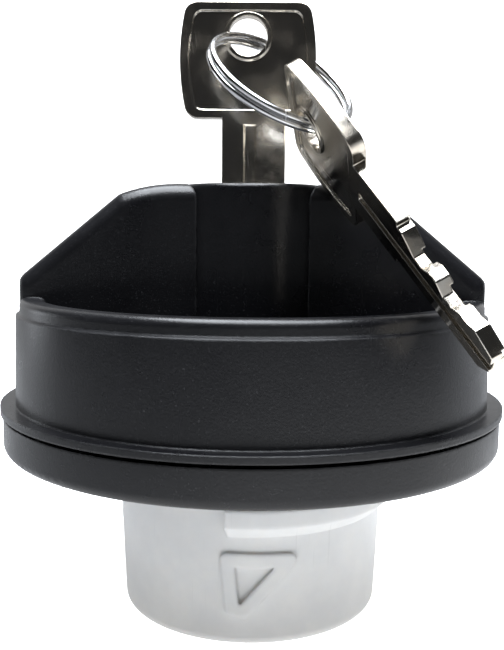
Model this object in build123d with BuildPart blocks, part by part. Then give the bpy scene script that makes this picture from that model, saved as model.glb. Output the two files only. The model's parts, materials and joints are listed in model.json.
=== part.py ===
from build123d import *
import math
import os

# Locking fuel filler cap with its key, split ring and spare key.
# Millimetres, +Z up along the cap's axis, +X along the grip bar.
# The origin is on the axis at the underside of the gasket, the face that meets the filler's rim.

# ---- driving dimensions ----
FLANGE_R = 40.8            # lip round the foot of the outer shell
LIP_T = 1.1                # height of that lip
LIP_FILLET = 1.5           # between the lip and the drum
SHELL_WALL = 2.3           # moulded wall of the outer shell
DRUM_R = FLANGE_R - 2.35   # drum wall at its foot
DRUM_TAPER = 0.3           # how much the drum draws in by its top
DRUM_TOP = 19.4            # top of the drum's side wall
STEP_IN = 0.6              # step between the side wall and the rim
STEP_ROUND = 0.2
RIM_TOP = 21.9             # crest of the rim
RIM_W = 3.9                # width of the rim round the finger recesses
RIM_ROUND = 1.1            # rounding of its two top edges
RECESS_FLOOR = 12.0        # floor of the finger recesses
GRIP_TOP = 40.0            # flat top of the grip bar
GRIP_HALF_T = 8.0          # half the thickness of the grip bar
GRIP_FLAT = 12.0           # half the flat length of its top
GRIP_SHOULDER_X = 21.2     # where the top's curve meets the slope
GRIP_SHOULDER_Z = 38.3
GRIP_END_X = FLANGE_R - 3.35  # where the slope would meet the end, but for its rounding
GRIP_END_Z = 24.85
GRIP_CORNER = 3.0          # rounding of the profile at the shoulders and ends
GRIP_EDGE = 2.6            # rounding of the grip's long edges
BOSS_R = 11.8              # lock housing at the middle of the grip
BOSS_EDGE = 0.8            # rounding of its top edge

SEAM_Z = 4.3               # underside of the outer shell's lip
SEAM_GAP = 0.6             # dark seam between the lip and the base ring
RING_R = FLANGE_R - 0.4    # base ring's skirt
RING_WALL = 2.4
RING_FOOT = -2.0           # bottom of the base ring
RING_EDGE = 1.5            # rounding of its bottom edge
WEB_R = RING_R - 6.4       # inner edge of the base ring's web, under the closure's plate
WEB_TOP = 2.7
WEB_T = 2.0
SPIGOT_T = 1.8             # outer shell's spigot inside the base ring
BEAD_R = 0.4               # snap bead round the spigot

GASKET_T = 3.0             # gasket, from the origin up
GASKET_BORE = 22.2
GASKET_R = GASKET_BORE + 7.3
PLATE_T = 2.0              # closure's round plate above the gasket
NECK_R = 21.65             # closure's neck at its top
NECK_FOOT_R = 21.0         # and at its foot
NECK_DEPTH = 29.0          # neck's foot below the origin
NECK_WALL = 2.4
NECK_EDGE = 1.6
LUG_R = 24.3               # cam lugs that hook under the filler's rim
LUG_SPAN = 104.0
LUG_START = -99.0
LUG_TOP = -7.0
LUG_FOOT = -11.3
LUG_TILT = 1.0
LUG_CHAMFER = 2.0
MARK_W = 2.1               # raised triangle on the neck
MARK_H = 0.5
MARK_CORNER = 1.1
MARK_LIFT = 4.7            # its point above the neck's foot
MARK_POINTS = ((-4.6, 10.1), (8.2, 9.9), (-0.6, 0.0), (-3.6, 0.8))
CLUTCH_R = RING_R - 12.9   # notched wall that the lock's bolt engages
CLUTCH_T = 3.0
CLUTCH_H = 4.2
NOTCHES = 12
NOTCH_CLEAR = 1.0
WASHER_T = 0.6             # slip washer between the closure and the outer shell
WASHER_R = CLUTCH_R + 6.0
WASHER_BORE = CLUTCH_R + 1.0
RIB_INSET = 2.0            # thrust rib over the washer, in from the washer's edges

VALVE_R = 12.3             # valve body pressed into the closure
VALVE_WALL = 1.6
VALVE_DEPTH = 16.0
VALVE_FLOOR = 1.8
SEAT_R = 5.0
SOCKET_T = 2.0             # wall of the socket that holds the valve body
VALVE_SEAL_T = 1.0
VALVE_SEAL_W = 3.5
PRESSURE_R = 9.5
PRESSURE_T = 1.8
COVER_T = 1.9
COVER_EDGE = 2.0           # closure's plate over the cover's edge
COVER_PORTS = 6
COVER_PORT_R = 1.2
VACUUM_R = 4.2
VACUUM_T = 1.3
VACUUM_STEM_R = 1.5
VACUUM_STEM_H = 6.6
VACUUM_HEAD_R = 2.8
VACUUM_HEAD_T = 0.8
PORT_R = 2.4
SPRING_WIRE = 0.45
SPRING_R = 7.6
SPRING_PITCH = 2.5
VACUUM_WIRE = 0.2
VACUUM_SPRING_R = 2.6
VACUUM_PITCH = 1.1

PLUG_R = 6.0               # lock plug
PLUG_HEAD_R = 6.9
PLUG_HEAD_T = 1.4
PLUG_FOOT = 12.0
SLEEVE_R = 8.2             # lock sleeve round the plug
SLEEVE_DROP = 1.6          # its top below the grip's top
KEYWAY_CLEAR = 0.15
WAFERS = 6
WAFER_T = 1.0
WAFER_HALF_X = 5.3
WAFER_HALF_Y = 2.5
WAFER_END = 2.0            # lowest wafer above the key's tip
WAFER_TOP = 4.0            # room between the highest wafer and the keyway's mouth
DRIVER_R = 7.5             # disc under the plug that works the bolt
DRIVER_T = 2.2
STUB = 5.0                 # square stub that turns the driver
STUB_H = 1.6
PIN_R = 1.4                # driver's eccentric pin
PIN_ARM = 3.3
DRIVER_SCREW_R = 1.05      # screw that holds the driver on the plug
DRIVER_SCREW_L = 3.2
DRIVER_SCREW_HEAD_R = 1.7
DRIVER_SCREW_HEAD_T = 0.3
BOLT_W = 7.0               # sliding lock bolt
BOLT_T = 2.4
BOLT_FOOT = 6.6
BOLT_TIP = CLUTCH_R - 4.1
BOLT_TAIL = -7.6
BOLT_CORNER = 0.8
CARRIER_FLOOR = 1.1        # carrier that guides the bolt
CARRIER_FOOT = 5.4
CARRIER_HALF_W = 5.6
CARRIER_COLLAR = 9.8
WING_HALF = 5.0
WING_REACH = 18.5
WING_CORNER = 2.0
WING_T = 2.0
SCREW_Y = 14.6             # carrier screws
SCREW_R = 1.4
SCREW_HEAD_R = 2.7
SCREW_L = 5.6
SCREW_POST_R = 3.0

KEY_T = 2.2                # key blank
KEY_BLADE = 8.0
KEY_BLADE_L = 21.0
KEY_CUTS = (0.9, 2.2, 2.2, 1.1, 1.1, 2.5, 2.5, 1.4, 1.4, 0.6)  # depths along the cut edge
CUTS_START = 2.4           # first cut below the key's shoulder
KEY_POINT = 2.0            # chamfer of the tip
KEY_SHANK = 10.3
KEY_SHANK_L = 10.6
BOW_W = 21.9
BOW_TOP_W = 19.6
BOW_H = 18.3
BOW_OFFSET = -1.0
BOW_CORNER = 2.2
BOW_RIM = 1.4
BOW_PANEL = 0.35
KEY_HOLE_R = 3.1
KEY_HOLE_DROP = 5.3        # hole's centre below the bow's top
GROOVE_W = 1.8
GROOVE_D = 0.55
GROOVE_NEAR = -0.6         # groove's place across the near face, and across the far one
GROOVE_FAR = 1.2

RING_WIRE = 0.53           # split ring's wire, radius
RING_MEAN_R = 11.7
RING_PITCH = 1.1
RING_TURNS = 2
RING_CHORD = 16.9          # across the ring where it crosses the inserted key's plane
RING_AXIS = Vector(0.460, -0.505, 0.730)
SPARE_ROUND = Vector(0.390, -0.635, -0.670)  # from the ring's centre to the spare key
SPARE_SHIFT = 0.4                           # how far the ring lies off the middle of its hole
SPARE_HANG = 0.4
RING_SHIFT = 0.2           # and off the middle of the inserted key's hole
SPARE_DOWN = Vector(0.480, -0.530, -0.700)  # along the spare key, from bow to tip
SPARE_ACROSS = Vector(0.120, 0.860, -0.490) # from its cut edge to its plain edge

# ---- clearances ----
RUN = 0.05                 # radial, plug in sleeve
FIT = 0.1                  # between pieces that seat in each other
FREE = 0.3                 # between pieces of different bodies
OVERCUT = 1.0              # how far a cut starts outside the face it opens
ROOT = 0.2                 # how far a rib or post is sunk into its wall

# ---- derived levels ----
RIM_R = DRUM_R - DRUM_TAPER - STEP_IN
RECESS_R = RIM_R - RIM_W
CEILING = RECESS_FLOOR - SHELL_WALL
CAVITY_R = DRUM_R - DRUM_TAPER - SHELL_WALL
PLATE_TOP = GASKET_T + PLATE_T
RING_TOP = SEAM_Z - SEAM_GAP
RING_BORE = RING_R - RING_WALL
SPIGOT_R = RING_BORE - 2 * FIT
SPIGOT_BORE = SPIGOT_R - SPIGOT_T
SPIGOT_FOOT = WEB_TOP + FIT
PLATE_R = SPIGOT_BORE - FREE - FIT
CARRIER_TOP = BOLT_FOOT + BOLT_T + 2 * FIT
SLEEVE_TOP = GRIP_TOP - SLEEVE_DROP
FIRST_WAFER = GRIP_TOP - KEY_BLADE_L + WAFER_END
WAFER_PITCH = (KEY_BLADE_L - WAFER_END - WAFER_TOP) / WAFERS

os.makedirs("parts", exist_ok=True)


def ring_section(inner, outer, low, high):
    """Rectangle in the XZ plane, to be revolved about Z."""
    with Locations(((inner + outer) / 2, (low + high) / 2)):
        Rectangle(outer - inner, high - low)


# ---- closure: white neck, plate and clutch wall in one moulding ----
with BuildPart() as cam_lug:
    with BuildSketch(Plane.XZ):
        ring_section(NECK_FOOT_R - NECK_WALL / 2, LUG_R, LUG_FOOT - 4, LUG_TOP)
    revolve(axis=Axis.Z, revolution_arc=LUG_SPAN)
    split(bisect_by=Plane.XY.offset(LUG_FOOT).rotated((0, LUG_TILT, 0)), keep=Keep.TOP)
    foot_edges = cam_lug.faces().sort_by(Axis.Z)[0].edges().filter_by(GeomType.LINE, reverse=True)
    chamfer(foot_edges.sort_by(SortBy.LENGTH)[-1], LUG_CHAMFER)

with BuildPart() as triangle_mark:
    with BuildSketch(Plane.XZ.offset(NECK_R - NECK_WALL / 2)) as mark:
        with BuildLine():
            Polyline(*[(x, MARK_LIFT - NECK_DEPTH + rise) for x, rise in MARK_POINTS], close=True)
        make_face()
        fillet(mark.vertices(), MARK_CORNER)
        offset(amount=-MARK_W, mode=Mode.SUBTRACT, kind=Kind.INTERSECTION)
    extrude(amount=NECK_WALL + MARK_H)
    Cylinder(NECK_R + MARK_H, 2 * NECK_DEPTH, mode=Mode.INTERSECT)

with BuildPart() as closure_neck:
    with BuildSketch(Plane.XZ):
        with BuildLine():
            Polyline((NECK_FOOT_R - NECK_WALL, -NECK_DEPTH), (NECK_FOOT_R, -NECK_DEPTH),
                     (NECK_R, -NECK_DEPTH / 2), (NECK_R, GASKET_T), (PLATE_R, GASKET_T),
                     (PLATE_R, PLATE_TOP), (0, PLATE_TOP), (0, GASKET_T),
                     (NECK_R - NECK_WALL, GASKET_T), (NECK_R - NECK_WALL, -NECK_DEPTH / 2),
                     close=True)
        make_face()
    revolve(axis=Axis.Z)
    fillet(closure_neck.edges().group_by(Axis.Z)[0].sort_by(SortBy.RADIUS)[-1], NECK_EDGE)
    with BuildSketch(Plane.XY.offset(GASKET_T)):
        Circle(VALVE_R + FIT + SOCKET_T)
        Circle(VALVE_R + FIT, mode=Mode.SUBTRACT)
    extrude(amount=-2 * GASKET_T)
    with BuildSketch(Plane.XY.offset(PLATE_TOP)):
        Circle(CLUTCH_R)
        Circle(CLUTCH_R - CLUTCH_T, mode=Mode.SUBTRACT)
        with PolarLocations(CLUTCH_R - CLUTCH_T / 2, NOTCHES):
            Rectangle(2 * CLUTCH_T, BOLT_W + NOTCH_CLEAR, mode=Mode.SUBTRACT)
    extrude(amount=CLUTCH_H)
    with BuildSketch(Plane.XY.offset(GASKET_T)):
        Circle(VALVE_R - VALVE_WALL - COVER_EDGE)
    extrude(amount=PLATE_T, mode=Mode.SUBTRACT)
    add(cam_lug.part.rotate(Axis.Z, LUG_START))
    add(cam_lug.part.rotate(Axis.Z, LUG_START + 180))
    add(triangle_mark.part)
    add(triangle_mark.part.rotate(Axis.Z, 180))
closure_neck.part.label = "closure_neck"
export_step(closure_neck.part, "parts/closure_neck.step")

with BuildPart() as filler_gasket:
    with BuildSketch():
        Circle(GASKET_R)
        Circle(GASKET_BORE, mode=Mode.SUBTRACT)
    extrude(amount=GASKET_T)
filler_gasket.part.label = "filler_gasket"
export_step(filler_gasket.part, "parts/filler_gasket.step")

with BuildPart() as slip_washer:
    with BuildSketch(Plane.XY.offset(PLATE_TOP)):
        Circle(WASHER_R)
        Circle(WASHER_BORE, mode=Mode.SUBTRACT)
    extrude(amount=WASHER_T)
slip_washer.part.label = "slip_washer"
export_step(slip_washer.part, "parts/slip_washer.step")

# ---- valve: pressure disc held down by a spring, vacuum poppet held up against it ----
VALVE_BORE = VALVE_R - VALVE_WALL
SEAT_Z = -VALVE_DEPTH + VALVE_FLOOR
DISC_FOOT = SEAT_Z + VALVE_SEAL_T
DISC_TOP = DISC_FOOT + PRESSURE_T
COVER_TOP = GASKET_T - FIT
COVER_FOOT = COVER_TOP - COVER_T

with BuildPart() as valve_body:
    with BuildSketch(Plane.XY.offset(-VALVE_DEPTH)):
        Circle(VALVE_R)
    extrude(amount=VALVE_DEPTH + COVER_TOP)
    with BuildSketch(Plane.XY.offset(SEAT_Z)):
        Circle(VALVE_BORE)
    extrude(amount=COVER_TOP - SEAT_Z, mode=Mode.SUBTRACT)
    with BuildSketch(Plane.XY.offset(-VALVE_DEPTH)):
        Circle(SEAT_R)
    extrude(amount=VALVE_FLOOR, mode=Mode.SUBTRACT)
valve_body.part.label = "valve_body"
export_step(valve_body.part, "parts/valve_body.step")

with BuildPart() as valve_seal:
    with BuildSketch(Plane.XY.offset(SEAT_Z)):
        Circle(SEAT_R + FIT + VALVE_SEAL_W)
        Circle(SEAT_R + FIT, mode=Mode.SUBTRACT)
    extrude(amount=VALVE_SEAL_T)
valve_seal.part.label = "valve_seal"
export_step(valve_seal.part, "parts/valve_seal.step")

with BuildPart() as pressure_valve:
    with BuildSketch(Plane.XY.offset(DISC_FOOT)):
        Circle(PRESSURE_R)
        Circle(PORT_R, mode=Mode.SUBTRACT)
    extrude(amount=PRESSURE_T)
pressure_valve.part.label = "pressure_valve"
export_step(pressure_valve.part, "parts/pressure_valve.step")

with BuildPart() as valve_cover:
    with BuildSketch(Plane.XY.offset(COVER_FOOT)):
        Circle(VALVE_BORE - FIT)
        Circle(VACUUM_HEAD_R, mode=Mode.SUBTRACT)
        with PolarLocations((VALVE_BORE - COVER_EDGE + VACUUM_HEAD_R) / 2, COVER_PORTS):
            Circle(COVER_PORT_R, mode=Mode.SUBTRACT)
    extrude(amount=COVER_T)
valve_cover.part.label = "valve_cover"
export_step(valve_cover.part, "parts/valve_cover.step")

with BuildPart() as pressure_spring:
    with BuildLine() as coil:
        Helix(pitch=SPRING_PITCH, height=COVER_FOOT - DISC_TOP - 2 * SPRING_WIRE, radius=SPRING_R,
              center=(0, 0, DISC_TOP + SPRING_WIRE))
    with BuildSketch(Plane(coil.line @ 0, z_dir=coil.line % 0)):
        Circle(SPRING_WIRE)
    sweep(is_frenet=True)
pressure_spring.part.label = "pressure_spring"
export_step(pressure_spring.part, "parts/pressure_spring.step")

POPPET_TOP = DISC_FOOT - FIT / 2
STEM_TOP = POPPET_TOP + VACUUM_STEM_H
with BuildPart() as vacuum_valve:
    with BuildSketch(Plane.XZ):
        with BuildLine():
            Polyline((0, POPPET_TOP - VACUUM_T), (VACUUM_R, POPPET_TOP - VACUUM_T),
                     (VACUUM_R, POPPET_TOP), (VACUUM_STEM_R, POPPET_TOP),
                     (VACUUM_STEM_R, STEM_TOP), (VACUUM_HEAD_R, STEM_TOP),
                     (VACUUM_HEAD_R, STEM_TOP + VACUUM_HEAD_T), (0, STEM_TOP + VACUUM_HEAD_T),
                     close=True)
        make_face()
    revolve(axis=Axis.Z)
vacuum_valve.part.label = "vacuum_valve"
export_step(vacuum_valve.part, "parts/vacuum_valve.step")

with BuildPart() as vacuum_spring:
    with BuildLine() as fine_coil:
        Helix(pitch=VACUUM_PITCH, height=STEM_TOP - DISC_TOP - 2 * VACUUM_WIRE,
              radius=VACUUM_SPRING_R, center=(0, 0, DISC_TOP + VACUUM_WIRE))
    with BuildSketch(Plane(fine_coil.line @ 0, z_dir=fine_coil.line % 0)):
        Circle(VACUUM_WIRE)
    sweep(is_frenet=True)
vacuum_spring.part.label = "vacuum_spring"
export_step(vacuum_spring.part, "parts/vacuum_spring.step")

# ---- outer shell: drum, rim and grip bar in one black moulding ----
with BuildPart() as grip_bar:
    with BuildSketch(Plane.XZ.offset(-GRIP_HALF_T)) as profile:
        with BuildLine():
            Line((-GRIP_FLAT, GRIP_TOP), (GRIP_FLAT, GRIP_TOP))
            for side in (1, -1):
                TangentArc((side * GRIP_FLAT, GRIP_TOP),
                           (side * GRIP_SHOULDER_X, GRIP_SHOULDER_Z), tangent=(side, 0))
                Polyline((side * GRIP_SHOULDER_X, GRIP_SHOULDER_Z),
                         (side * GRIP_END_X, GRIP_END_Z),
                         (side * GRIP_END_X, CEILING), (0, CEILING))
        make_face()
        slope_ends = profile.vertices().filter_by_position(Axis.Y, GRIP_END_Z - FIT,
                                                           GRIP_SHOULDER_Z + FIT)
        fillet(slope_ends, GRIP_CORNER)
    extrude(amount=2 * GRIP_HALF_T)
    long_edges = (grip_bar.faces().filter_by(Axis.Y).edges()
                  .filter_by(lambda edge: edge.center().Z > RIM_TOP))
    fillet(long_edges, GRIP_EDGE)
    Cylinder(RIM_R, 4 * GRIP_TOP, mode=Mode.INTERSECT)

with BuildPart() as outer_shell:
    with BuildSketch(Plane.XZ) as half_section:
        with BuildLine():
            Polyline((0, SEAM_Z), (FLANGE_R, SEAM_Z), (FLANGE_R, SEAM_Z + LIP_T),
                     (DRUM_R, SEAM_Z + LIP_T), (DRUM_R - DRUM_TAPER, DRUM_TOP),
                     (RIM_R, DRUM_TOP + STEP_IN / 2), (RIM_R, RIM_TOP), (RECESS_R, RIM_TOP),
                     (RECESS_R, RECESS_FLOOR), (0, RECESS_FLOOR), close=True)
        make_face()
        corners = half_section.vertices()
        crest = corners.filter_by_position(Axis.Y, RIM_TOP - 0.1, RIM_TOP + 0.1)
        lip = corners.filter_by_position(Axis.Y, SEAM_Z + LIP_T - 0.1, SEAM_Z + LIP_T + 0.1)
        shoulder_line = corners.filter_by_position(Axis.Y, DRUM_TOP - 0.1, DRUM_TOP + 0.1)
        fillet(crest, RIM_ROUND)
        fillet(lip.sort_by(Axis.X)[-1], LIP_T / 2)
        fillet(lip.sort_by(Axis.X)[0], LIP_FILLET)
        fillet(shoulder_line, STEP_ROUND)
    revolve(axis=Axis.Z)
    add(grip_bar.part)
    # spigot with its snap bead, under the lip
    with BuildSketch(Plane.XZ):
        ring_section(SPIGOT_BORE, SPIGOT_R, SPIGOT_FOOT, SEAM_Z + 1)
        with Locations((SPIGOT_R, (SPIGOT_FOOT + RING_TOP) / 2)):
            Circle(BEAD_R)
    revolve(axis=Axis.Z)
    # hollow inside
    with BuildSketch(Plane.XY.offset(SPIGOT_FOOT)):
        Circle(SPIGOT_BORE)
    extrude(amount=CEILING - SPIGOT_FOOT, mode=Mode.SUBTRACT)
    with BuildSketch(Plane.XZ.offset(SHELL_WALL - GRIP_HALF_T)) as hollow:
        with BuildLine():
            Polyline((BOSS_R + SHELL_WALL / 2, CEILING - OVERCUT),
                     (BOSS_R + SHELL_WALL / 2, GRIP_TOP - SHELL_WALL),
                     (GRIP_SHOULDER_X - OVERCUT, GRIP_SHOULDER_Z - SHELL_WALL - FREE),
                     (RIM_R - SHELL_WALL - OVERCUT, GRIP_END_Z - FREE),
                     (RIM_R - SHELL_WALL - OVERCUT, CEILING - OVERCUT), close=True)
        make_face()
        mirror(about=Plane.YZ)
    extrude(amount=2 * (GRIP_HALF_T - SHELL_WALL), mode=Mode.SUBTRACT)
    # thrust rib over the slip washer, and posts for the carrier's screws
    with BuildSketch(Plane.XY.offset(CEILING + ROOT)):
        Circle(WASHER_R - RIB_INSET)
        Circle(WASHER_BORE + RIB_INSET / 2, mode=Mode.SUBTRACT)
    extrude(amount=PLATE_TOP + WASHER_T + FREE - CEILING - ROOT)
    with BuildSketch(Plane.XY.offset(CARRIER_FOOT + WING_T)):
        with Locations((0, SCREW_Y), (0, -SCREW_Y)):
            Circle(SCREW_POST_R)
    extrude(amount=CEILING - CARRIER_FOOT - WING_T + ROOT)
    # bore for the lock housing, and holes for the carrier's screws
    with BuildSketch(Plane.XY.offset(CEILING - OVERCUT)):
        Circle(BOSS_R + RUN)
    extrude(amount=GRIP_TOP - CEILING + 2 * OVERCUT, mode=Mode.SUBTRACT)
    with BuildSketch(Plane.XY.offset(CARRIER_FOOT + WING_T)):
        with Locations((0, SCREW_Y), (0, -SCREW_Y)):
            Circle(SCREW_R + FIT / 2)
    extrude(amount=SCREW_L - WING_T + FIT, mode=Mode.SUBTRACT)
outer_shell.part.label = "outer_shell"
export_step(outer_shell.part, "parts/outer_shell.step")

with BuildPart() as base_ring:
    with BuildSketch(Plane.XZ) as ring_profile:
        with BuildLine():
            Polyline((RING_BORE, RING_FOOT), (RING_R, RING_FOOT), (RING_R, RING_TOP),
                     (RING_BORE, RING_TOP), (RING_BORE, WEB_TOP), (WEB_R, WEB_TOP),
                     (WEB_R, WEB_TOP - WEB_T), (RING_BORE, WEB_TOP - WEB_T), close=True)
        make_face()
        outer = ring_profile.vertices().sort_by(Axis.X)[-2:]
        fillet(outer.sort_by(Axis.Y)[0], RING_EDGE)
        fillet(outer.sort_by(Axis.Y)[-1], FREE)
        with Locations((RING_BORE, (SPIGOT_FOOT + RING_TOP) / 2)):
            Circle(BEAD_R, mode=Mode.SUBTRACT)
    revolve(axis=Axis.Z)
base_ring.part.label = "base_ring"
export_step(base_ring.part, "parts/base_ring.step")

# ---- lock: housing, sleeve, plug, wafers, driver and sliding bolt ----
with BuildPart() as lock_housing:
    with BuildSketch(Plane.XY.offset(CEILING)):
        Circle(BOSS_R)
    extrude(amount=GRIP_TOP - CEILING)
    fillet(lock_housing.edges().group_by(Axis.Z)[-1], BOSS_EDGE)
    # room for the sleeve, the plug's head and the carrier's collar
    with BuildSketch(Plane.XY.offset(CEILING)):
        Circle(SLEEVE_R + FIT / 2)
    extrude(amount=SLEEVE_TOP + FIT - CEILING, mode=Mode.SUBTRACT)
    with BuildSketch(Plane.XY.offset(SLEEVE_TOP)):
        Circle(PLUG_HEAD_R + FREE)
    extrude(amount=SLEEVE_DROP, mode=Mode.SUBTRACT)
    with BuildSketch(Plane.XY.offset(CEILING)):
        Circle(CARRIER_COLLAR + FIT)
    extrude(amount=PLUG_FOOT + FIT - CEILING, mode=Mode.SUBTRACT)
lock_housing.part.label = "lock_housing"
export_step(lock_housing.part, "parts/lock_housing.step")

with BuildPart() as lock_sleeve:
    with BuildSketch(Plane.XY.offset(PLUG_FOOT)):
        Circle(SLEEVE_R)
        Circle(PLUG_R + RUN, mode=Mode.SUBTRACT)
    extrude(amount=SLEEVE_TOP - PLUG_FOOT)
    with BuildSketch(Plane.XY.offset(FIRST_WAFER - WAFER_PITCH / 2)):
        Rectangle(2 * (PLUG_R + 1), 2 * WAFER_HALF_Y + FREE)
        Circle(PLUG_R, mode=Mode.SUBTRACT)
    extrude(amount=WAFERS * WAFER_PITCH, mode=Mode.SUBTRACT)
lock_sleeve.part.label = "lock_sleeve"
export_step(lock_sleeve.part, "parts/lock_sleeve.step")

with BuildPart() as lock_plug:
    with BuildSketch(Plane.XY.offset(PLUG_FOOT)):
        Circle(PLUG_R)
    extrude(amount=GRIP_TOP - PLUG_FOOT)
    with BuildSketch(Plane.XY.offset(GRIP_TOP - PLUG_HEAD_T)):
        Circle(PLUG_HEAD_R)
    extrude(amount=PLUG_HEAD_T)
    with BuildSketch(Plane.XY.offset(PLUG_FOOT)):
        Rectangle(STUB, STUB)
    extrude(amount=-STUB_H)
    with BuildSketch(Plane.XY.offset(GRIP_TOP)):
        Rectangle(KEY_BLADE + 2 * KEYWAY_CLEAR, KEY_T + 2 * KEYWAY_CLEAR)
    extrude(amount=-KEY_BLADE_L - FREE, mode=Mode.SUBTRACT)
    for index in range(WAFERS):
        level = FIRST_WAFER + index * WAFER_PITCH
        with BuildSketch(Plane.XY.offset(level - WAFER_T / 2 - RUN)):
            Rectangle(2 * PLUG_R, 2 * (WAFER_HALF_Y + RUN))
        extrude(amount=WAFER_T + 2 * RUN, mode=Mode.SUBTRACT)
    with BuildSketch(Plane.XY.offset(PLUG_FOOT - STUB_H)):
        Circle(DRIVER_SCREW_R + FIT / 2)
    extrude(amount=DRIVER_SCREW_L, mode=Mode.SUBTRACT)
lock_plug.part.label = "lock_plug"
export_step(lock_plug.part, "parts/lock_plug.step")

for index in range(WAFERS):
    level = FIRST_WAFER + index * WAFER_PITCH
    with BuildPart() as wafer:
        with BuildSketch(Plane.XY.offset(level - WAFER_T / 2)):
            Rectangle(2 * WAFER_HALF_X, 2 * WAFER_HALF_Y)
            Rectangle(KEY_BLADE + 2 * KEYWAY_CLEAR, KEY_T + 2 * KEYWAY_CLEAR, mode=Mode.SUBTRACT)
        extrude(amount=WAFER_T)
    wafer.part.label = f"wafer_{index + 1}"
    export_step(wafer.part, f"parts/wafer_{index + 1}.step")

DRIVER_TOP = PLUG_FOOT - 2 * FIT
PIN_X = -PIN_ARM * math.sin(math.radians(45))
PIN_Y = PIN_ARM * math.cos(math.radians(45))
with BuildPart() as lock_driver:
    with BuildSketch(Plane.XY.offset(DRIVER_TOP)):
        Circle(DRIVER_R)
    extrude(amount=-DRIVER_T)
    with BuildSketch(Plane.XY.offset(DRIVER_TOP)):
        Rectangle(STUB + FIT, STUB + FIT)
    extrude(amount=-STUB_H + FIT, mode=Mode.SUBTRACT)
    with BuildSketch(Plane.XY.offset(DRIVER_TOP - DRIVER_T)):
        with Locations((PIN_X, PIN_Y)):
            Circle(PIN_R)
    extrude(amount=BOLT_FOOT + FIT - DRIVER_TOP + DRIVER_T)
    with BuildSketch(Plane.XY.offset(DRIVER_TOP - DRIVER_T)):
        Circle(DRIVER_SCREW_R + FIT)
    extrude(amount=DRIVER_T, mode=Mode.SUBTRACT)
lock_driver.part.label = "lock_driver"
export_step(lock_driver.part, "parts/lock_driver.step")

with BuildPart() as lock_bolt:
    with BuildSketch(Plane.XY.offset(BOLT_FOOT)):
        with Locations(((BOLT_TIP + BOLT_TAIL) / 2, 0)):
            RectangleRounded(BOLT_TIP - BOLT_TAIL, BOLT_W, BOLT_CORNER)
        with Locations((PIN_X, PIN_Y - PIN_R - FREE)):
            Rectangle(2 * (PIN_R + FREE), BOLT_W, align=(Align.CENTER, Align.MIN),
                      mode=Mode.SUBTRACT)
    extrude(amount=BOLT_T)
lock_bolt.part.label = "lock_bolt"
export_step(lock_bolt.part, "parts/lock_bolt.step")

with BuildPart() as bolt_carrier:
    with BuildSketch(Plane.XY.offset(CARRIER_FOOT)):
        Circle(CARRIER_COLLAR)
    extrude(amount=PLUG_FOOT - CARRIER_FOOT)
    with BuildSketch(Plane.XY.offset(CARRIER_FOOT)):
        with Locations(((BOLT_TIP + 2 * BOLT_TAIL) / 2, 0)):
            Rectangle(BOLT_TIP - 2 * BOLT_TAIL, 2 * CARRIER_HALF_W)
        Circle(CLUTCH_R - CLUTCH_T - FREE, mode=Mode.INTERSECT)
    extrude(amount=CARRIER_TOP - CARRIER_FOOT)
    with BuildSketch(Plane.XY.offset(CARRIER_FOOT)):
        RectangleRounded(2 * WING_HALF, 2 * WING_REACH, WING_CORNER)
    extrude(amount=WING_T)
    with BuildSketch(Plane.XY.offset(CARRIER_TOP)):
        Circle(DRIVER_R + FREE)
    extrude(amount=PLUG_FOOT - CARRIER_TOP, mode=Mode.SUBTRACT)
    with BuildSketch(Plane.XY.offset(CARRIER_FOOT + CARRIER_FLOOR)):
        with Locations((BOLT_TAIL - FREE, 0)):
            Rectangle(2 * CLUTCH_R, BOLT_W + 2 * FIT, align=(Align.MIN, Align.CENTER))
        Circle(PIN_ARM + PIN_R + FREE)
    extrude(amount=CARRIER_TOP - CARRIER_FOOT - CARRIER_FLOOR, mode=Mode.SUBTRACT)
    with Locations(Plane.XY.offset(CARRIER_FOOT).rotated((180, 0, 0))):
        with Locations((0, SCREW_Y), (0, -SCREW_Y)):
            CounterSinkHole(SCREW_R + FIT / 2, SCREW_HEAD_R + FIT / 2, WING_T)
bolt_carrier.part.label = "bolt_carrier"
export_step(bolt_carrier.part, "parts/bolt_carrier.step")

SCREW_TIP = CARRIER_FOOT + SCREW_L
for side, sign in (("front", -1), ("rear", 1)):
    with BuildPart() as carrier_screw:
        with BuildSketch(Plane.XZ.offset(-sign * SCREW_Y)):
            with BuildLine():
                Polyline((0, CARRIER_FOOT), (SCREW_HEAD_R, CARRIER_FOOT),
                         (SCREW_R, CARRIER_FOOT + SCREW_HEAD_R - SCREW_R),
                         (SCREW_R, SCREW_TIP - SCREW_R / 2), (SCREW_R / 2, SCREW_TIP),
                         (0, SCREW_TIP), close=True)
            make_face()
        revolve(axis=Axis((0, sign * SCREW_Y, 0), (0, 0, 1)))
    carrier_screw.part.label = f"carrier_screw_{side}"
    export_step(carrier_screw.part, f"parts/carrier_screw_{side}.step")

DRIVER_FOOT = DRIVER_TOP - DRIVER_T
with BuildPart() as driver_screw:
    with BuildSketch(Plane.XY.offset(DRIVER_FOOT)):
        Circle(DRIVER_SCREW_HEAD_R)
    extrude(amount=-DRIVER_SCREW_HEAD_T)
    with BuildSketch(Plane.XY.offset(DRIVER_FOOT)):
        Circle(DRIVER_SCREW_R)
    extrude(amount=DRIVER_SCREW_L - 2 * FIT)
driver_screw.part.label = "driver_screw"
export_step(driver_screw.part, "parts/driver_screw.step")


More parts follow.
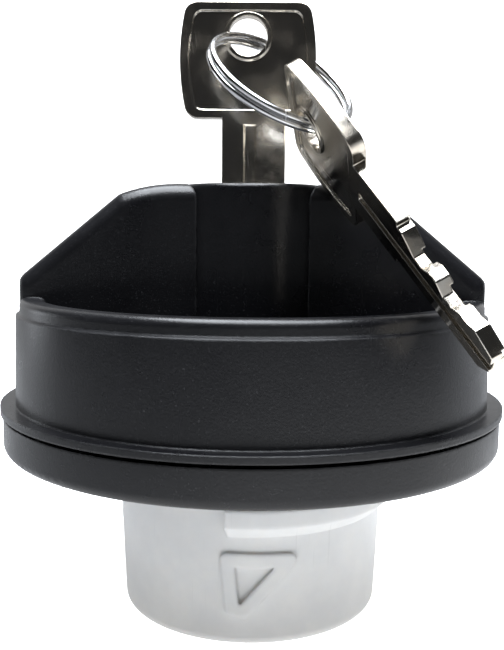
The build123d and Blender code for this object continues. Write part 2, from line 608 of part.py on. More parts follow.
# ---- keys: flat nickel-plated blanks with a framed bow ----
def bow_shape(inset, corner):
    """Barrel-shaped bow, drawn in from its edge: origin at the key's shoulder, Y up the key."""
    low = KEY_SHANK_L + inset
    high = KEY_SHANK_L + BOW_H - inset
    middle = (low + high) / 2
    half_end = BOW_TOP_W / 2 - inset
    half_mid = BOW_W / 2 - inset
    with BuildSketch() as bow:
        with BuildLine():
            ThreePointArc((BOW_OFFSET - half_end, low), (BOW_OFFSET - half_mid, middle),
                          (BOW_OFFSET - half_end, high))
            Line((BOW_OFFSET - half_end, high), (BOW_OFFSET + half_end, high))
            ThreePointArc((BOW_OFFSET + half_end, high), (BOW_OFFSET + half_mid, middle),
                          (BOW_OFFSET + half_end, low))
            Line((BOW_OFFSET + half_end, low), (BOW_OFFSET - half_end, low))
        make_face()
        fillet(bow.vertices(), corner)
    return bow.sketch


def make_key(plane):
    """Key standing on the plane's XY origin at its shoulder, Z through its thickness."""
    half = KEY_BLADE / 2
    step = (KEY_BLADE_L - CUTS_START - KEY_POINT) / len(KEY_CUTS)
    edge = [(half - cut, -CUTS_START - step * index) for index, cut in enumerate(KEY_CUTS)]
    with BuildPart() as blank:
        with BuildSketch(plane):
            add(bow_shape(0, BOW_CORNER))
            with Locations((0, (KEY_SHANK_L + OVERCUT) / 2)):
                Rectangle(KEY_SHANK, KEY_SHANK_L + OVERCUT)
            with BuildLine():
                Polyline((-half, ROOT), (half, ROOT), (half, -CUTS_START / 2), *edge,
                         (half - KEY_POINT, -KEY_BLADE_L), (-half + KEY_POINT, -KEY_BLADE_L),
                         (-half, KEY_POINT - KEY_BLADE_L), close=True)
            make_face()
            with Locations((BOW_OFFSET, KEY_SHANK_L + BOW_H - KEY_HOLE_DROP)):
                Circle(KEY_HOLE_R, mode=Mode.SUBTRACT)
        extrude(amount=KEY_T / 2, both=True)
        for face_side in (-1, 1):
            with BuildSketch(plane.offset(face_side * KEY_T / 2)):
                add(bow_shape(BOW_RIM, BOW_CORNER - BOW_RIM / 2))
                with Locations((BOW_OFFSET, KEY_SHANK_L + BOW_H - KEY_HOLE_DROP)):
                    Circle(KEY_HOLE_R + BOW_RIM / 2, mode=Mode.SUBTRACT)
            extrude(amount=-face_side * BOW_PANEL, mode=Mode.SUBTRACT)
        with BuildSketch(plane.offset(KEY_T / 2)):
            with Locations((GROOVE_NEAR, (KEY_SHANK_L - KEY_BLADE_L) / 2 - OVERCUT)):
                Rectangle(GROOVE_W, KEY_SHANK_L + KEY_BLADE_L)
        extrude(amount=-GROOVE_D, mode=Mode.SUBTRACT)
        with BuildSketch(plane.offset(-KEY_T / 2)):
            with Locations((GROOVE_FAR, (KEY_SHANK_L - KEY_BLADE_L) / 2 - OVERCUT)):
                Rectangle(GROOVE_W, KEY_SHANK_L + KEY_BLADE_L)
        extrude(amount=GROOVE_D, mode=Mode.SUBTRACT)
    return blank


key_shoulder = Vector(0, 0, GRIP_TOP + FIT)
key = make_key(Plane(key_shoulder, x_dir=(1, 0, 0), z_dir=(0, -1, 0)))
key.part.label = "key"
export_step(key.part, "parts/key.step")

# the ring crosses the inserted key's plane in its hole and again beyond its bow
hole_up = KEY_SHANK_L + BOW_H - KEY_HOLE_DROP
ring_axis = RING_AXIS.normalized()
chord = ring_axis.cross(Vector(0, 1, 0)).normalized()
chord_depth = math.sqrt(RING_MEAN_R ** 2 - RING_CHORD ** 2 / 4)
key_hole = key_shoulder + Vector(BOW_OFFSET, 0, hole_up)
ring_centre = (key_hole + Vector(RING_SHIFT, 0, 0) - chord * RING_CHORD / 2
               + ring_axis.cross(chord) * chord_depth)

down = SPARE_DOWN.normalized()
across = (SPARE_ACROSS - down * SPARE_ACROSS.dot(down)).normalized()
ring_reach = SPARE_ROUND.normalized() * RING_MEAN_R
spare_hole = ring_centre + ring_reach - across * SPARE_SHIFT + down * SPARE_HANG
spare_shoulder = spare_hole + down * hole_up + across * BOW_OFFSET
spare_key = make_key(Plane(spare_shoulder, x_dir=-across, z_dir=across.cross(down)))
spare_key.part.label = "spare_key"
export_step(spare_key.part, "parts/spare_key.step")

# ---- split ring: two touching turns of wire through both bows ----
with BuildPart() as split_ring:
    with BuildLine() as turns:
        Helix(pitch=RING_PITCH, height=RING_PITCH * RING_TURNS, radius=RING_MEAN_R,
              center=ring_centre - ring_axis * RING_PITCH * RING_TURNS / 2, direction=ring_axis)
    with BuildSketch(Plane(turns.line @ 0, z_dir=turns.line % 0)):
        Circle(RING_WIRE)
    sweep(is_frenet=True)
split_ring.part.label = "split_ring"
export_step(split_ring.part, "parts/split_ring.step")
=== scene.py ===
# %% [markdown]
# # A locking fuel filler cap, dressed for the camera
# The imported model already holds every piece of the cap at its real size: the black shell, the white
# neck, the lock, two keys and a split ring. This lesson keeps that frame fixed and gives each visible
# piece its finished surface. All lengths are in metres, so a millimetre is written `MM`.

# %% Load the frame
import json
import math

import bmesh
import bpy
import numpy as np
from mathutils import Matrix, Vector


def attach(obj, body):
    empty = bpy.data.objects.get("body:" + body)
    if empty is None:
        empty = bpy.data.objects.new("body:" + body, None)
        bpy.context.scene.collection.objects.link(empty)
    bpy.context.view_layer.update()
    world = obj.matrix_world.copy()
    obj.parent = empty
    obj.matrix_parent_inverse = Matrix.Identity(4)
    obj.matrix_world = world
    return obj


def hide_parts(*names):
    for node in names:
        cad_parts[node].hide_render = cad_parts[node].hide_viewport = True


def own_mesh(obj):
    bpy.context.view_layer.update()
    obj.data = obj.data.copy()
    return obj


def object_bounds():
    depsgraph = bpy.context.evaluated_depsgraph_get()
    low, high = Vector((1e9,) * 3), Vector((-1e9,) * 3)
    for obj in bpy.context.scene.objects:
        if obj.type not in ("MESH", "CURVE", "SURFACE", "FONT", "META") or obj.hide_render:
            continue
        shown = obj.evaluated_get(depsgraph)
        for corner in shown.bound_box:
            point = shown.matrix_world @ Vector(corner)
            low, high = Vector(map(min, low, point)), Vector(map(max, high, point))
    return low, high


MM = 0.001
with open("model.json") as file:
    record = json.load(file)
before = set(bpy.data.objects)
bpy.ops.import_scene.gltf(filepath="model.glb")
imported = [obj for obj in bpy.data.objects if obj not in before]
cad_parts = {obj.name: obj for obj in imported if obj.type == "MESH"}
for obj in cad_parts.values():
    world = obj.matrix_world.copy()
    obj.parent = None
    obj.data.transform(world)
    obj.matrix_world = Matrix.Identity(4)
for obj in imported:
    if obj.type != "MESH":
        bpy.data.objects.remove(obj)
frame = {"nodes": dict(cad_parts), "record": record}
cad_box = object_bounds()
nodes = frame["nodes"]
print("frame loaded:", len(nodes), "nodes")

# %% [markdown]
# ## Small tools for meshes
# Smooth shading with a sharp-angle limit keeps round walls round and real corners crisp. A long, thin or
# flat piece that lies at a slant is easier to work on along its own axes, so one function finds them.

# %% Mesh tools
SHARP_ANGLE = math.radians(32)


def new_object(name, data):
    """Adds an object for a mesh, lamp or camera to the scene."""
    piece = bpy.data.objects.new(name, data)
    bpy.context.scene.collection.objects.link(piece)
    return piece


def finish_mesh(piece):
    """Shades a piece smooth, with edges above the sharp angle kept crisp."""
    piece.data.shade_smooth()
    piece.data.set_sharp_from_angle(angle=SHARP_ANGLE)
    return piece


def own_axes(piece):
    """Matrix of a piece's own frame: X across, Y along its length, Z through its thickness."""
    points = np.array([vertex.co for vertex in piece.data.vertices])
    middle = points.mean(axis=0)
    _, _, axes = np.linalg.svd(points - middle, full_matrices=False)
    along, through = Vector(axes[0]), Vector(axes[2])
    if along.z < 0:
        along.negate()
    across = along.cross(through)
    turn = Matrix((across, along, through)).transposed().to_4x4()
    return Matrix.Translation(middle) @ turn


print("mesh tools ready")

# %% [markdown]
# ## Camera, floor and studio
# A product shot of a cap this small is taken from close by, a little above the gap between the lip and
# the base ring, so the flange shows as a shallow ellipse. The cap stands on the foot of its neck. The
# backdrop is a plain white sweep. One large soft light hangs above, and a small panel stands at each side,
# a little behind. The room looks white but sends out almost no light, so whatever faces the front mirrors
# the dark and the black plastic keeps its depth.

# %% Camera
CAMERA_DISTANCE = 145 * MM
CAMERA_HEIGHT = 33.54 * MM
CAMERA_PITCH = math.radians(6.51)
CAMERA_ROLL = math.radians(0.48)
CAMERA_LENS = 48.3
SENSOR_WIDTH = 36
CLIP_START = 5 * MM

camera_data = bpy.data.cameras.new("camera")
camera_data.lens = CAMERA_LENS
camera_data.sensor_fit = "AUTO"
camera_data.sensor_width = SENSOR_WIDTH
camera_data.clip_start = CLIP_START
camera = new_object("camera", camera_data)
camera.matrix_world = (
    Matrix.Translation((0, -CAMERA_DISTANCE, CAMERA_HEIGHT))
    @ Matrix.Rotation(math.pi / 2 - CAMERA_PITCH, 4, "X")
    @ Matrix.Rotation(CAMERA_ROLL, 4, "Z")
)
bpy.context.scene.camera = camera
print("camera at", [round(v / MM, 1) for v in camera.location], "mm, lens", CAMERA_LENS)

# %% Floor and backdrop
FLOOR_HALF = 1.2
SWEEP_BACK = 0.55
SWEEP_RADIUS = 0.3
SWEEP_HEIGHT = 1.1


def sweep_profile(steps=16):
    """Floor, quarter turn and wall of a paper sweep, as (y, z) points."""
    floor = cad_box[0][2]
    turn = [
        (SWEEP_BACK + SWEEP_RADIUS * math.sin(a), floor + SWEEP_RADIUS * (1 - math.cos(a)))
        for a in (math.pi / 2 * i / steps for i in range(steps + 1))
    ]
    return [(-FLOOR_HALF, floor), *turn, (SWEEP_BACK + SWEEP_RADIUS, floor + SWEEP_HEIGHT)]


sweep = bpy.data.meshes.new("paper_sweep")
line = sweep_profile()
sweep.from_pydata(
    [(side * FLOOR_HALF, y, z) for y, z in line for side in (-1, 1)],
    [],
    [(2 * i, 2 * i + 1, 2 * i + 3, 2 * i + 2) for i in range(len(line) - 1)],
)
floor = new_object("paper_sweep", sweep)
sweep.shade_smooth()

# %% Lights
LAMP_COLOUR = (0.90, 0.94, 1.0)
LAMP_TARGET = (0, 0, 20 * MM)
TOP_PLACE = (0, -0.02, 0.50)
TOP_SIZE = (0.45, 0.50)
TOP_POWER = 11.5
PANEL_SIDE = 0.42   # how far each panel stands to the side
PANEL_BACK = 0.18
PANEL_HEIGHT = 0.045
PANEL_SIZE = (0.16, 0.16)
LEFT_POWER = 0.19
RIGHT_POWER = 0.11
# Looked at directly the room is white; the light that it sends onto the cap is faint.
ROOM_COLOUR = (0.95, 0.97, 1.0, 1)
ROOM_LIGHT = 0.03
ROOM_SEEN = 1.0


def area_light(name, place, size, power):
    """A soft rectangular light that faces the cap; power is in watts."""
    lamp = bpy.data.lights.new(name, "AREA")
    lamp.shape = "RECTANGLE"
    lamp.size, lamp.size_y = size
    lamp.energy = power
    lamp.color = LAMP_COLOUR
    light = new_object(name, lamp)
    light.location = place
    facing = Vector(LAMP_TARGET) - Vector(place)
    light.rotation_euler = facing.to_track_quat("-Z", "Y").to_euler()


area_light("top_light", TOP_PLACE, TOP_SIZE, TOP_POWER)
area_light("left_panel", (-PANEL_SIDE, PANEL_BACK, PANEL_HEIGHT), PANEL_SIZE, LEFT_POWER)
area_light("right_panel", (PANEL_SIDE, PANEL_BACK, PANEL_HEIGHT), PANEL_SIZE, RIGHT_POWER)

world = bpy.data.worlds.new("studio")
world.use_nodes = True
bpy.context.scene.world = world
bpy.context.scene.view_settings.view_transform = "Standard"
air = world.node_tree.nodes["Background"]
air.inputs["Color"].default_value = ROOM_COLOUR
path = world.node_tree.nodes.new("ShaderNodeLightPath")
shown = world.node_tree.nodes.new("ShaderNodeMapRange")
shown.inputs["To Min"].default_value = ROOM_LIGHT
shown.inputs["To Max"].default_value = ROOM_SEEN
world.node_tree.links.new(path.outputs["Is Camera Ray"], shown.inputs["Value"])
world.node_tree.links.new(shown.outputs["Result"], air.inputs["Strength"])
print("studio set")

# %% [markdown]
# ## Node tools
# A material is a small graph. `Graph` keeps its code short: it adds a node, sets its sockets by name and
# links whatever is passed as a socket. Effects that several finishes share become node groups.

# %% Graph helper


class Graph:
    """Adds nodes to a tree; a value given as a socket is linked, anything else is set."""

    def __init__(self, tree):
        self.tree = tree

    def set(self, node, values):
        for name, value in values.items():
            socket = node.inputs[name]
            if isinstance(value, bpy.types.NodeSocket):
                self.tree.links.new(value, socket)
            else:
                socket.default_value = value
        return node

    def add(self, kind, values=None, **settings):
        node = self.tree.nodes.new("ShaderNode" + kind)
        for name, value in settings.items():
            setattr(node, name, value)
        return self.set(node, values or {})

    def math(self, operation, a, b=0.0, clamp=False):
        return self.add("Math", {0: a, 1: b}, operation=operation, use_clamp=clamp).outputs[0]

    def noise(self, place, scale, detail=2.0, rough=0.5):
        return self.add(
            "TexNoise", {"Vector": place, "Scale": scale, "Detail": detail, "Roughness": rough}
        ).outputs["Fac"]

    def ramp(self, value, low, high, start=0.0, end=1.0):
        """Smoothly maps low..high onto start..end."""
        return self.add(
            "MapRange",
            {"Value": value, "From Min": low, "From Max": high, "To Min": start, "To Max": end},
            interpolation_type="SMOOTHSTEP",
        ).outputs["Result"]

    def blend(self, share, a, b):
        """Colour a where share is 0, b where it is 1."""
        node = self.add("Mix", data_type="RGBA")
        for index, value in ((0, share), (6, a), (7, b)):
            if isinstance(value, bpy.types.NodeSocket):
                self.tree.links.new(value, node.inputs[index])
            else:
                node.inputs[index].default_value = value
        return node.outputs[2]


def new_group(name, inputs, outputs):
    """A shader node group with float, colour or vector sockets; returns (tree, graph, in, out)."""
    tree = bpy.data.node_groups.new(name, "ShaderNodeTree")
    for label, kind, value in inputs:
        socket = tree.interface.new_socket(label, in_out="INPUT", socket_type="NodeSocket" + kind)
        if value is not None:
            socket.default_value = value
    for label, kind in outputs:
        tree.interface.new_socket(label, in_out="OUTPUT", socket_type="NodeSocket" + kind)
    graph = Graph(tree)
    source = tree.nodes.new("NodeGroupInput")
    sink = tree.nodes.new("NodeGroupOutput")
    return tree, graph, source.outputs, sink


def use(graph, tree, values=None):
    """Puts a node group into a material."""
    node = graph.tree.nodes.new("ShaderNodeGroup")
    node.node_tree = tree
    graph.set(node, values or {})
    return node.outputs


def new_material(name, base, roughness, metallic=0.0, **shader):
    """A Principled material; returns (material, graph, principled node, object coordinates)."""
    material = bpy.data.materials.new(name)
    material.use_nodes = True
    principled = material.node_tree.nodes["Principled BSDF"]
    graph = Graph(material.node_tree)
    values = {"Base Color": (*base, 1), "Roughness": roughness, "Metallic": metallic}
    for key, value in shader.items():
        values[key.replace("_", " ").title().replace("Ior", "IOR")] = value
    graph.set(principled, values)
    place = graph.add("TexCoord").outputs["Object"]
    return material, graph, principled, place


print("node tools ready")

# %% [markdown]
# ### Moulded grain
# An injection mould for satin plastic is spark-eroded, which leaves tiny round pits and bumps. The grain
# group mixes two sizes of cells into a height, and also gives a mask of a few facets. The black plastic
# paints glints there: a painted highlight, lighter in its colour, and it also makes those facets glossier.

# %% Group: moulded grain
COARSE_CELLS = 0.45         # fineness of the broad bumps, against the pits
GLINT_CELLS = 1.3           # and of the bright facets
GLINT_RANGE = (0.66, 0.78)  # noise at which a facet starts to shine, and shines fully

tree, g, given, out = new_group(
    "moulded_grain",
    [("Vector", "Vector", None), ("Size", "Float", 0.35 * MM), ("Unevenness", "Float", 0.5)],
    [("Height", "Float"), ("Glints", "Float")],
)
fineness = g.math("DIVIDE", 1.0, given["Size"])
pits = g.add("TexVoronoi", {"Vector": given["Vector"], "Scale": fineness}, feature="SMOOTH_F1")
coarse = g.noise(given["Vector"], g.math("MULTIPLY", fineness, COARSE_CELLS), detail=3.0)
height = g.add(
    "Mix", {0: given["Unevenness"], 2: pits.outputs["Distance"], 3: coarse}
).outputs[0]
facets = g.noise(given["Vector"], g.math("MULTIPLY", fineness, GLINT_CELLS), detail=1.0)
glints = g.ramp(facets, *GLINT_RANGE)
g.set(out, {"Height": height, "Glints": glints})
moulded_grain = tree
print("group", moulded_grain.name)

# %% [markdown]
# ### Edge wear
# Corners that stand out are rubbed first. The Bevel node gives a softened normal near edges: where it
# differs from the surface's own normal, there is an edge. Noise breaks the mask up so it isn't a drawn line.

# %% Group: edge wear
EDGE_RANGE = (0.004, 0.10)  # how far the two normals part where the mask starts and where it is full
BREAKUP_RANGE = (0.35, 0.6)
LEAST_WEAR = 0.25           # share of the mask that is left where the noise is low

tree, g, given, out = new_group(
    "edge_wear",
    [("Vector", "Vector", None), ("Reach", "Float", 0.3 * MM), ("Breakup", "Float", 900.0)],
    [("Mask", "Float"), ("Normal", "Vector")],
)
soft = g.add("Bevel", {"Radius": given["Reach"]}, samples=4).outputs["Normal"]
flat = g.add("NewGeometry").outputs["Normal"]
agreement = g.add("VectorMath", {0: soft, 1: flat}, operation="DOT_PRODUCT").outputs["Value"]
turned = g.ramp(g.math("SUBTRACT", 1.0, agreement), *EDGE_RANGE)
speckle = g.noise(given["Vector"], given["Breakup"], detail=3.0)
patchy = g.ramp(speckle, *BREAKUP_RANGE, LEAST_WEAR, 1.0)
g.set(out, {"Mask": g.math("MULTIPLY", turned, patchy), "Normal": soft})
edge_wear = tree
print("group", edge_wear.name)

# %% [markdown]
# ### Handling
# Fingers leave broad, faint patches that change how glossy a surface looks, and small hairline scratches.

# %% Group: handling
SMUDGE_RANGE = (0.3, 0.7)
SCRATCH_RANGE = (0.70, 0.76)
SCRATCH_TILT = 0.4
SCRATCH_SETS = ((0.5, 60.0), (2.1, 45.0))  # turn in radians, fineness along the scratch
SCRATCH_STRETCH = 30                       # how much finer across

tree, g, given, out = new_group(
    "handling",
    [("Vector", "Vector", None), ("Patch", "Float", 14 * MM), ("Scratches", "Float", 0.5)],
    [("Smudge", "Float"), ("Scratch", "Float")],
)
broad = g.noise(given["Vector"], g.math("DIVIDE", 1.0, given["Patch"]), detail=4.0, rough=0.6)
smudge = g.ramp(broad, *SMUDGE_RANGE)
lines = []
for turn, along in SCRATCH_SETS:
    mapped = g.add("Mapping", {
        "Vector": given["Vector"],
        "Rotation": (SCRATCH_TILT, turn, turn),
        "Scale": (along * SCRATCH_STRETCH, along, along),
    }).outputs["Vector"]
    lines.append(g.ramp(g.noise(mapped, 1.0, detail=2.0), *SCRATCH_RANGE))
scratch = g.math("MULTIPLY", g.math("MAXIMUM", *lines), given["Scratches"])
g.set(out, {"Smudge": smudge, "Scratch": scratch})
handling = tree
print("group", handling.name)

# %% [markdown]
# ## Finishes
# Each slot of the record gets one material: satin black plastic, white acetal, plain nylon, rubber, cast
# zinc, brass and several steels.

# %% Satin black plastic
BLACK_CLEAN = (0.005, 0.005, 0.006, 1)
BLACK_DUSTY = (0.010, 0.010, 0.011, 1)
BLACK_RUBBED = (0.060, 0.061, 0.063, 1)
BLACK_PAINTED_GLINT = (0.10, 0.10, 0.105, 1)
DUST_SHARE = 0.5
RUB_SHARE = 0.7
PAINTED_GLINT_SHARE = 0.35
BLACK_ROUGHNESS = (0.26, 0.34)  # where clean, and where smudged
GLINT_POLISH = -0.10
SCRATCH_DULLING = 0.10

finishes = {}


def grain_normal(graph, height, distance, strength, base_normal=None):
    """Turns a height into a normal, over a softened edge's normal if one is given."""
    values = {"Height": height, "Distance": distance, "Strength": strength}
    if base_normal is not None:
        values["Normal"] = base_normal
    return graph.add("Bump", values).outputs["Normal"]


material, g, shader, place = new_material(
    "satin_black_plastic", (0.012, 0.012, 0.013), 0.42, specular_ior_level=0.34
)
grain = use(g, moulded_grain, {"Vector": place, "Size": 0.32 * MM, "Unevenness": 0.45})
edge = use(g, edge_wear, {"Vector": place, "Reach": 0.45 * MM, "Breakup": 700.0})
touch = use(g, handling, {"Vector": place, "Patch": 16 * MM, "Scratches": 0.35})
dusty = g.blend(g.math("MULTIPLY", touch["Smudge"], DUST_SHARE), BLACK_CLEAN, BLACK_DUSTY)
rubbed = g.blend(g.math("MULTIPLY", edge["Mask"], RUB_SHARE), dusty, BLACK_RUBBED)
# Painted highlight: the glint facets are painted lighter in the colour, as if they caught light.
colour_with_painted_glints = g.blend(g.math("MULTIPLY", grain["Glints"], PAINTED_GLINT_SHARE), rubbed, BLACK_PAINTED_GLINT)
smudged = g.ramp(touch["Smudge"], 0.0, 1.0, *BLACK_ROUGHNESS)
polished = g.math("ADD", smudged, g.math("MULTIPLY", grain["Glints"], GLINT_POLISH))
gloss = g.math("ADD", polished, g.math("MULTIPLY", touch["Scratch"], SCRATCH_DULLING))
g.set(shader, {
    "Base Color": colour_with_painted_glints,
    "Roughness": gloss,
    "Normal": grain_normal(g, grain["Height"], 0.03 * MM, 0.8, edge["Normal"]),
})
finishes["black_plastic"] = material
print("finish", material.name)

# %% White acetal
# Acetal is milky: a little light goes in and spreads, so its shadows stay soft.
ACETAL_SHADED = (0.76, 0.765, 0.765, 1)
ACETAL_PALE = (0.84, 0.84, 0.825, 1)
ACETAL_SCRATCH = (0.55, 0.55, 0.54, 1)
ACETAL_SPREAD = (1.0, 0.9, 0.8)   # how far red, green and blue travel, of the depth below
ACETAL_DEPTH = 1.6 * MM
ACETAL_ROUGHNESS = (0.30, 0.45)

material, g, shader, place = new_material(
    "white_acetal", (0.80, 0.80, 0.79), 0.38, subsurface_weight=0.35
)
shader.inputs["Subsurface Radius"].default_value = ACETAL_SPREAD
shader.inputs["Subsurface Scale"].default_value = ACETAL_DEPTH
grain = use(g, moulded_grain, {"Vector": place, "Size": 0.5 * MM, "Unevenness": 0.7})
touch = use(g, handling, {"Vector": place, "Patch": 11 * MM, "Scratches": 0.6})
edge = use(g, edge_wear, {"Vector": place, "Reach": 0.9 * MM, "Breakup": 500.0})
milky = g.blend(touch["Smudge"], ACETAL_SHADED, ACETAL_PALE)
marked = g.blend(g.math("MULTIPLY", touch["Scratch"], 0.25), milky, ACETAL_SCRATCH)
g.set(shader, {
    "Base Color": marked,
    "Roughness": g.math(
        "ADD",
        g.ramp(touch["Smudge"], 0.0, 1.0, *ACETAL_ROUGHNESS),
        g.math("MULTIPLY", touch["Scratch"], 0.15),
    ),
    "Normal": grain_normal(g, grain["Height"], 0.02 * MM, 0.4, edge["Normal"]),
})
finishes["white_acetal"] = material
print("finish", material.name)


# %% Nylon and rubber
def simple_plastic(slot, pale, deep, rough, size, subsurface=0.0):
    """Moulded plastic or rubber: two tones, grain and handling marks."""
    material, g, shader, place = new_material(slot, pale, rough, subsurface_weight=subsurface)
    shader.inputs["Subsurface Scale"].default_value = 1.2 * MM
    grain = use(g, moulded_grain, {"Vector": place, "Size": size, "Unevenness": 0.6})
    touch = use(g, handling, {"Vector": place, "Patch": 8 * MM, "Scratches": 0.5})
    g.set(shader, {
        "Base Color": g.blend(touch["Smudge"], (*deep, 1), (*pale, 1)),
        "Roughness": g.ramp(touch["Smudge"], 0.0, 1.0, rough - 0.06, rough + 0.08),
        "Normal": grain_normal(g, grain["Height"], 0.03 * MM, 0.5),
    })
    finishes[slot] = material
    print("finish", slot)


simple_plastic(
    "natural_nylon", pale=(0.74, 0.72, 0.64), deep=(0.66, 0.63, 0.54),
    rough=0.45, size=0.5 * MM, subsurface=0.2,
)
simple_plastic(
    "black_rubber", pale=(0.030, 0.030, 0.031), deep=(0.017, 0.017, 0.018),
    rough=0.72, size=0.6 * MM,
)


# %% [markdown]
# ### Metals
# Plated keys are stamped, tumbled and nickel plated: the faces keep long drag lines along the blank and
# the edges stay bright. Cast zinc is duller and a little pitted, and brass wafers are punched.

# %% Metals
def metal(slot, bright, dull, rough, fineness, line_depth, worn):
    """Plated or drawn metal; drag lines run along the axis with the lowest fineness, if one is lower."""
    material, g, shader, place = new_material(slot, bright, rough, metallic=1.0)
    drawn = g.add("Mapping", {"Vector": place, "Scale": fineness}).outputs["Vector"]
    lines = g.noise(drawn, 1.0, detail=5.0, rough=0.65)
    grain = use(g, moulded_grain, {"Vector": place, "Size": 0.6 * MM, "Unevenness": 0.8})
    touch = use(g, handling, {"Vector": place, "Patch": 6 * MM, "Scratches": 0.8})
    edge = use(g, edge_wear, {"Vector": place, "Reach": 0.14 * MM, "Breakup": 1500.0})
    # Handling stains; on the key this tone is also a painted reflection, brown like the mirrored
    # surroundings.
    stain_and_reflection_tint = g.blend(g.math("MULTIPLY", touch["Smudge"], 0.6), (*bright, 1), (*dull, 1))
    rubbed = g.blend(g.math("MULTIPLY", edge["Mask"], 0.6), stain_and_reflection_tint, (*worn, 1))
    height = g.math("ADD", lines, g.math("MULTIPLY", grain["Height"], 0.25))
    height = g.math("SUBTRACT", height, g.math("MULTIPLY", touch["Scratch"], 0.6))
    g.set(shader, {
        "Base Color": rubbed,
        "Roughness": g.math(
            "ADD",
            g.ramp(touch["Smudge"], 0.0, 1.0, rough - 0.05, rough + 0.10),
            g.math("MULTIPLY", touch["Scratch"], 0.12),
        ),
        "Normal": grain_normal(g, height, line_depth, 0.5, edge["Normal"]),
    })
    finishes[slot] = material
    print("finish", slot)


# The key's dull tone is brown: partly handling stain, partly a painted reflection of brownish surroundings.
metal(
    "key_nickel", bright=(0.66, 0.63, 0.57), dull=(0.48, 0.40, 0.30), worn=(0.80, 0.77, 0.70),
    rough=0.16, fineness=(2600, 160, 2600), line_depth=0.006 * MM,
)
metal(
    "ring_steel", bright=(0.68, 0.68, 0.68), dull=(0.50, 0.50, 0.51), worn=(0.80, 0.80, 0.80),
    rough=0.16, fineness=(900, 900, 900), line_depth=0.005 * MM,
)
metal(
    "zinc_alloy", bright=(0.50, 0.50, 0.51), dull=(0.36, 0.36, 0.37), worn=(0.62, 0.62, 0.63),
    rough=0.38, fineness=(700, 700, 700), line_depth=0.02 * MM,
)
metal(
    "plug_zinc", bright=(0.60, 0.59, 0.57), dull=(0.42, 0.41, 0.40), worn=(0.74, 0.73, 0.70),
    rough=0.26, fineness=(500, 500, 2200), line_depth=0.012 * MM,
)
metal(
    "wafer_brass", bright=(0.72, 0.52, 0.24), dull=(0.50, 0.34, 0.14), worn=(0.85, 0.66, 0.34),
    rough=0.30, fineness=(1800, 300, 1800), line_depth=0.01 * MM,
)
metal(
    "spring_steel", bright=(0.52, 0.52, 0.54), dull=(0.34, 0.33, 0.33), worn=(0.70, 0.70, 0.71),
    rough=0.28, fineness=(900, 900, 900), line_depth=0.01 * MM,
)

# %% Paper sweep
# Seen directly the paper is burnt out to white. What it sends back onto the cap is weaker: the wall
# behind glows, a pool of light round the foot fills the neck, and the rest of the floor stays dim so
# that the black plastic keeps its depth.
WALL_GLOW = 0.50
WALL_START = 0.10   # how far back the wall's glow begins
POOL_GLOW = 0.98
POOL_CORE = 0.06    # radius inside which the pool is full
POOL_REACH = 0.185
POOL_CENTRE = (0.065, -0.06, 0)
SEEN_GLOW = 0.75
PAPER_GREY = (0.30, 0.30, 0.30)
PAPER_SEEN = (0.95, 0.95, 0.95, 1)

material, g, shader, place = new_material("paper", PAPER_GREY, 0.9)
fibre = g.noise(place, 900.0, detail=4.0)
seen = g.add("LightPath").outputs["Is Camera Ray"]
depth = g.add("SeparateXYZ", {0: place}).outputs["Y"]
away = g.add("VectorMath", {0: place, 1: POOL_CENTRE}, operation="DISTANCE").outputs["Value"]
pool = g.ramp(away, POOL_CORE, POOL_REACH, POOL_GLOW, 0.0)
wall = g.ramp(depth, WALL_START, SWEEP_BACK + SWEEP_RADIUS, 0.0, WALL_GLOW)
glow = g.math("ADD", pool, wall)
g.set(shader, {
    "Base Color": g.blend(seen, (*PAPER_GREY, 1), PAPER_SEEN),
    "Normal": grain_normal(g, fibre, 0.02 * MM, 0.2),
    "Emission Color": (1, 1, 1, 1),
    "Emission Strength": g.math("ADD", glow, g.math("MULTIPLY", seen, SEEN_GLOW)),
})
floor.data.materials.append(material)

# %% [markdown]
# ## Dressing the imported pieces
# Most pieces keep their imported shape. They get smooth shading with crisp corners and the finish of their
# slot in the record.

# %% Dress the frame
slot_of = {part["node"]: part["material_slot"] for part in frame["record"]["subparts"]}
for name, piece in nodes.items():
    piece.data.materials.clear()
    piece.data.materials.append(finishes[slot_of[name]])
    finish_mesh(piece)
print("dressed", len(nodes), "nodes")

# %% [markdown]
# ### Keys
# A key is blanked from strip, so its edges have a slight roll on one side and a burr, tumbled off, on the
# other. Each key is taken into its own frame, its doubled corners are joined and its edges are broken,
# so that they catch a thin line of light all the way round.

# %% Keys
KEY_EDGE = 0.13 * MM
KEY_EDGE_STEPS = 3
MERGE = 0.001 * MM
FLAT_ANGLE = math.radians(0.5)   # faces that turn less are one flat face
BREAK_ANGLE = math.radians(35)   # edges that turn more are broken


def key_piece(name, node_name, body):
    """A key with broken edges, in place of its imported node."""
    source = nodes[node_name]
    stand = own_axes(source)
    build = bmesh.new()
    build.from_mesh(source.data)
    bmesh.ops.transform(build, matrix=stand.inverted(), verts=build.verts)
    bmesh.ops.remove_doubles(build, verts=build.verts, dist=MERGE)
    shared = [edge for edge in build.edges if len(edge.link_faces) == 2]
    flat = [edge for edge in shared if edge.calc_face_angle() < FLAT_ANGLE]
    bmesh.ops.dissolve_edges(build, edges=flat, use_verts=True)
    mesh = bpy.data.meshes.new(name)
    build.to_mesh(mesh)
    build.free()
    mesh.materials.clear()
    mesh.materials.append(finishes["key_nickel"])
    key = new_object(name, mesh)
    key.matrix_world = stand
    broken = key.modifiers.new("broken_edges", "BEVEL")
    broken.width = KEY_EDGE
    broken.segments = KEY_EDGE_STEPS
    broken.limit_method = "ANGLE"
    broken.angle_limit = BREAK_ANGLE
    broken.use_clamp_overlap = False
    finish_mesh(key)
    even = key.modifiers.new("even_shading", "WEIGHTED_NORMAL")
    even.keep_sharp = True
    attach(key, body)
    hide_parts(node_name)
    print(name, len(mesh.vertices), "points")


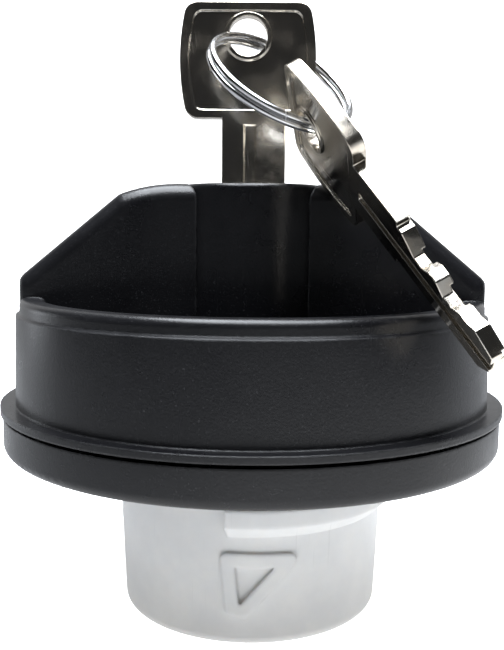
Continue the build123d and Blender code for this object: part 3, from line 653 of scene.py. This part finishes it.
key_piece("inserted_key_blank", "key", "inserted_key")
key_piece("hanging_key_blank", "spare_key", "second_key")

# %% [markdown]
# ### Split ring
# The ring is spring wire, coiled twice and pressed flat, so the turns touch along one side and part only
# where the wire steps from one turn to the next. Its two ends are cut square and tumbled.

# %% Split ring
RING_TURNS = 2
RING_STEPS = 300
WIRE_SIDES = 20
WIRE_R = 0.53 * MM
RING_MEAN_R = 11.7 * MM
END_ROUND = 0.30 * MM   # loops of points nearer than this to an end are drawn in
END_SIZE = 0.55         # the very end's radius, as a share of the wire's


def ring_piece():
    """The coiled wire, swept with round sides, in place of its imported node."""
    points = np.array([vertex.co for vertex in nodes["split_ring"].data.vertices])
    middle = Vector(points.mean(axis=0))
    _, _, axes = np.linalg.svd(points - points.mean(axis=0), full_matrices=False)
    axis = Vector(axes[2])
    heights = (points - np.array(middle)) @ np.array(axis)
    rise = heights.max() - heights.min() - 2 * WIRE_R
    end = Vector(points[heights.argmax()]) - middle
    start = (end - axis * end.dot(axis)).normalized()
    side = axis.cross(start)
    length = 2 * math.pi * RING_MEAN_R * RING_TURNS
    build = bmesh.new()
    loops = []
    for step in range(RING_STEPS + 1):
        share = step / RING_STEPS
        turn = 2 * math.pi * RING_TURNS * share
        out = start * math.cos(turn) + side * math.sin(turn)
        centre = middle + out * RING_MEAN_R + axis * rise * (share - 0.5)
        from_end = min(share, 1 - share) * length
        squeeze = 1.0
        if from_end < END_ROUND:
            rounding = math.sqrt(1 - (1 - from_end / END_ROUND) ** 2)
            squeeze = END_SIZE + (1 - END_SIZE) * rounding
        loops.append([
            build.verts.new(centre + (out * math.cos(a) + axis * math.sin(a)) * WIRE_R * squeeze)
            for a in (2 * math.pi * k / WIRE_SIDES for k in range(WIRE_SIDES))
        ])
    for low, high in zip(loops, loops[1:]):
        for k in range(WIRE_SIDES):
            j = (k + 1) % WIRE_SIDES
            build.faces.new((low[k], low[j], high[j], high[k]))
    build.faces.new(loops[0])
    build.faces.new(loops[-1])
    bmesh.ops.recalc_face_normals(build, faces=build.faces)
    mesh = bpy.data.meshes.new("split_ring_wire")
    build.to_mesh(mesh)
    build.free()
    mesh.materials.append(finishes["ring_steel"])
    ring = finish_mesh(new_object("split_ring_wire", mesh))
    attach(ring, "ring")
    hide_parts("split_ring")
    print("split ring rise", round(rise / MM, 2), "mm")


ring_piece()

# %% [markdown]
# ### Valve springs
# Both springs are wound from wire and shorten as their valve opens. A rigid mesh can't do that, and here
# each stays rigid: it is taken over as a copy of its imported mesh that its body carries, the pressure
# spring by the closure and the vacuum spring by the pressure disc. The pressure spring's fixed end is the
# cover above it, the vacuum spring's the disc below it.


def spring_piece(node_name, body):
    """A rigid copy of a spring with its own mesh, carried by the given body."""
    mesh = nodes[node_name].data.copy()
    mesh.materials.clear()
    mesh.materials.append(finishes["spring_steel"])
    spring = finish_mesh(new_object(node_name + "_coil", mesh))
    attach(spring, body)
    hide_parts(node_name)
    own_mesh(spring)


spring_piece("pressure_spring", "closure")
spring_piece("vacuum_spring", "pressure_disc")
